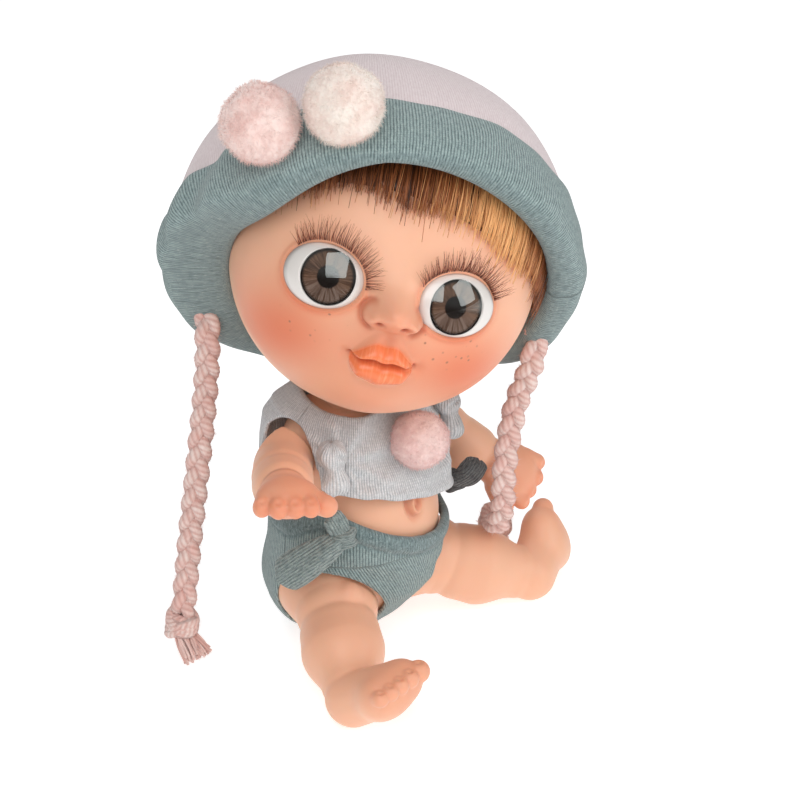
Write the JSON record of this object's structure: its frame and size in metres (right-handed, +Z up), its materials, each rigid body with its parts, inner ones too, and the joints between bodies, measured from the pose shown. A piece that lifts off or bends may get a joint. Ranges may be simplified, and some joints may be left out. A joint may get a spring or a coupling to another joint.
{
  "type": "baby doll",
  "caption": "Seated vinyl baby doll with a round head, inset eyes, turning limbs, a knitted hat with pompoms and braided cords, a cropped top and tied briefs.",
  "frame": {"origin": "on the floor plane under the hips, at the middle of the body", "axes": "+Z up; the chest faces -Y; the doll's left side is +X"},
  "size_m": [0.0887, 0.0726, 0.1285],
  "materials": {
    "vinyl": "soft peach vinyl with a satin skin",
    "eye_white": "glossy moulded plastic",
    "iris": "printed brown disc",
    "clear_lens": "clear domed acrylic, polished",
    "lashes": "fine auburn bristle on a strip",
    "hair": "short brown wig of straight fibre",
    "pink_jersey": "fine pale pink jersey knit",
    "grey_jersey": "heather blue-grey rib knit",
    "pale_rib": "fleeced pale grey rib knit",
    "yarn": "pink and cream braided yarn",
    "fluff": "pale pink fluffy pompom"
  },
  "bodies": {
    "torso": {"torso": "vinyl", "top": "pale_rib", "top_knot_right": "pale_rib", "top_knot_left": "pale_rib", "chest_pompom": "fluff", "briefs": "grey_jersey", "briefs_tie_right": "grey_jersey", "briefs_tie_left": "grey_jersey"},
    "head": {"head": "vinyl", "eye_shell_right": "eye_white", "iris_right": "iris", "cornea_right": "clear_lens", "lashes_right": "lashes", "eye_shell_left": "eye_white", "iris_left": "iris", "cornea_left": "clear_lens", "lashes_left": "lashes", "hair": "hair", "hat_crown": "pink_jersey", "hat_cuff": "grey_jersey", "hat_pompom_right": "fluff", "hat_pompom_left": "fluff", "braid_right": "yarn", "braid_knot_right": "yarn", "braid_left": "yarn", "braid_knot_left": "yarn"},
    "arm_right": {"arm_right": "vinyl"},
    "arm_left": {"arm_left": "vinyl"},
    "leg_right": {"leg_right": "vinyl"},
    "leg_left": {"leg_left": "vinyl"}
  },
  "joints": [
    {"name": "neck_turn", "type": "hinge", "parent": "torso", "child": "head", "pos_m": [0, -0.0015, 0.0608], "axis": [0, 0, 1], "range_deg": [-48, 132], "deforming": ["braid_right", "braid_knot_right", "braid_left", "braid_knot_left"]},
    {"name": "shoulder_right", "type": "hinge", "parent": "torso", "child": "arm_right", "pos_m": [-0.0173, 0.001, 0.0445], "axis": [0.9812, 0.1001, 0.1652], "range_deg": [-6, 72]},
    {"name": "shoulder_left", "type": "hinge", "parent": "torso", "child": "arm_left", "pos_m": [0.0173, 0.001, 0.0445], "axis": [0.9812, -0.1001, -0.1652], "range_deg": [-70, 6], "deforming": ["braid_left", "braid_knot_left"]},
    {"name": "hip_right", "type": "hinge", "parent": "torso", "child": "leg_right", "pos_m": [-0.011, -0.0052, 0.0137], "axis": [-0.6401, -0.6381, -0.428], "range_deg": [-90, 180]},
    {"name": "hip_left", "type": "hinge", "parent": "torso", "child": "leg_left", "pos_m": [0.011, -0.0052, 0.0137], "axis": [0.6401, -0.6381, -0.428], "range_deg": [-90, 180], "deforming": ["braid_left", "braid_knot_left"]}
  ]
}
